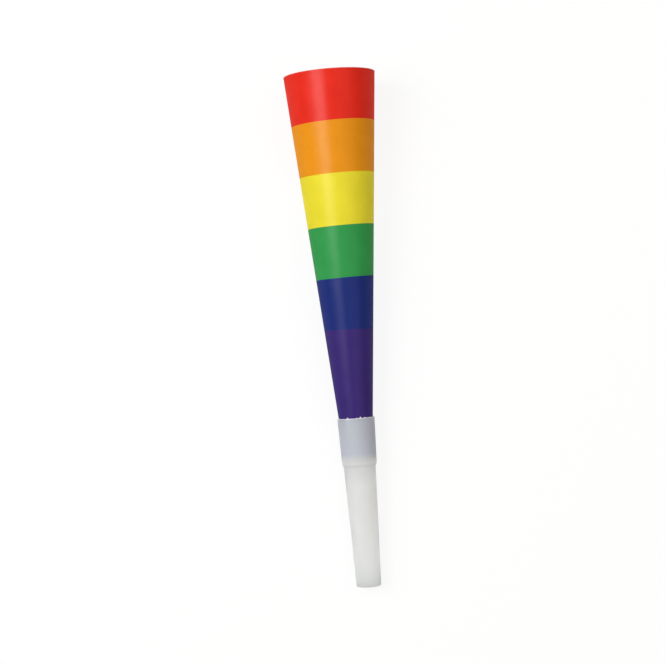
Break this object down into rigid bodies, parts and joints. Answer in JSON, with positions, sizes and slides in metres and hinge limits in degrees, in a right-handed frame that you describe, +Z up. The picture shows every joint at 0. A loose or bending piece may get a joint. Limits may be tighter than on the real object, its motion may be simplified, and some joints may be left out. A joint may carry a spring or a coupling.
{
  "type": "paper party horn",
  "caption": "Paper party horn: a rolled card cone printed in rainbow bands, a translucent plastic mouthpiece and a beating reed inside it.",
  "frame": {"origin": "on the surface that the horn lies on, under the middle of its length", "axes": "+Z up, +Y along the surface from the mouth end towards the bell, +X across the horn"},
  "size_m": [0.0411, 0.2312, 0.0409],
  "materials": {
    "printed_card": "satin",
    "translucent_plastic": "satin",
    "hard_plastic": "satin",
    "reed_film": "gloss"
  },
  "bodies": {
    "horn": {"paper_cone": "printed_card", "mouthpiece": "translucent_plastic", "reed_holder": "hard_plastic", "reed_wedge": "hard_plastic"},
    "reed": {"reed_tongue": "reed_film"}
  },
  "joints": [
    {"name": "reed_beat", "type": "hinge", "parent": "horn", "child": "reed", "pos_m": [0, -0.066, 0.00933], "axis": [-1, 0, 0], "range_deg": [-2.24, 2.5], "stiffness_Nm_per_rad": 0.0013}
  ]
}
